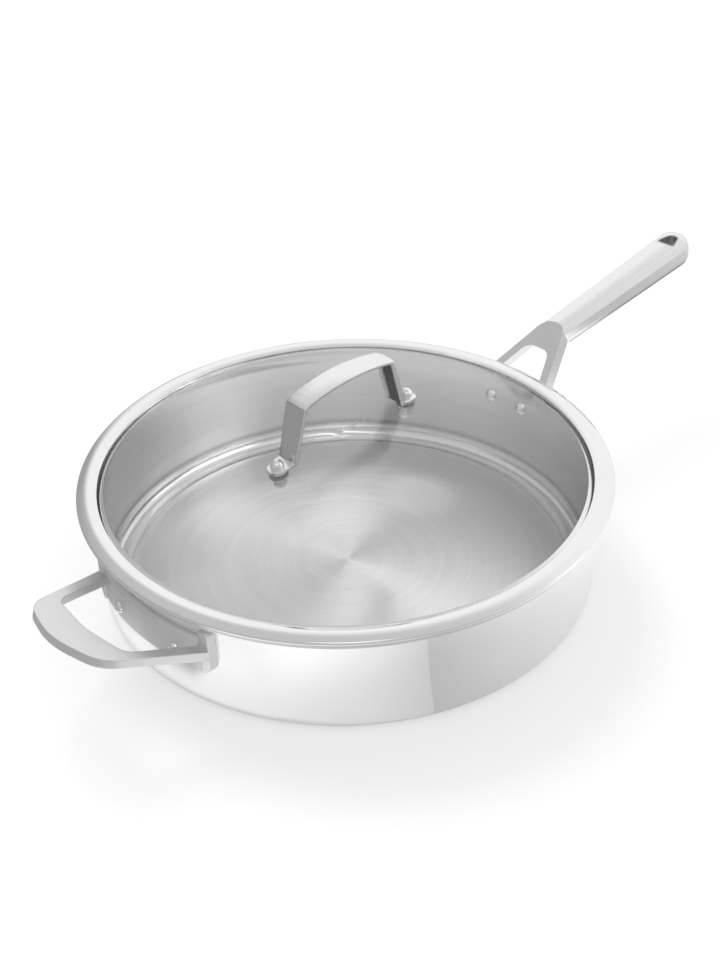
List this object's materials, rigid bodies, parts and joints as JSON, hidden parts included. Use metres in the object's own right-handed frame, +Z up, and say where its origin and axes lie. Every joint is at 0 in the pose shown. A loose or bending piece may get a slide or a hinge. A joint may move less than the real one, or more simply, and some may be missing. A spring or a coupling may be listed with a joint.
{
  "type": "covered saute pan",
  "caption": "Straight-sided stainless pan with a long riveted handle, a helper loop handle and a domed glass lid with a steel band and a bolted strap handle.",
  "frame": {"origin": "centre of the flat underside of the pan's base", "axes": "+Z up along the pan's axis, +X along the long handle, +Y to its left"},
  "size_m": [0.5565, 0.326, 0.1421],
  "materials": {
    "cooking_steel": "spun brushed",
    "core_metal": "bare, shows only at the rim",
    "polished_steel": "mirror polished",
    "satin_steel": "satin",
    "handle_steel": "fine satin with bright bevels",
    "rivet_steel": "polished",
    "lid_glass": "clear, smooth",
    "pale_silicone": "matt, milky"
  },
  "bodies": {
    "pan": {"inner_steel_layer": "cooking_steel", "aluminium_core": "core_metal", "outer_steel_layer": "polished_steel", "handle_bracket": "satin_steel", "bracket_rivets": "rivet_steel", "handle_grip": "handle_steel", "hang_hole_liner": "satin_steel", "helper_handle": "satin_steel", "helper_rivets": "rivet_steel"},
    "lid": {"lid_glass": "lid_glass", "lid_band": "polished_steel", "lid_handle": "handle_steel", "lid_bolts": "rivet_steel", "lid_grommets": "pale_silicone", "lid_gaskets": "pale_silicone", "lid_washers": "rivet_steel", "lid_nuts": "rivet_steel"}
  },
  "joints": [
    {"name": "lid_lift", "type": "slide", "parent": "pan", "child": "lid", "axis": [0, 0, 1], "range_m": [0, 0.15]}
  ]
}
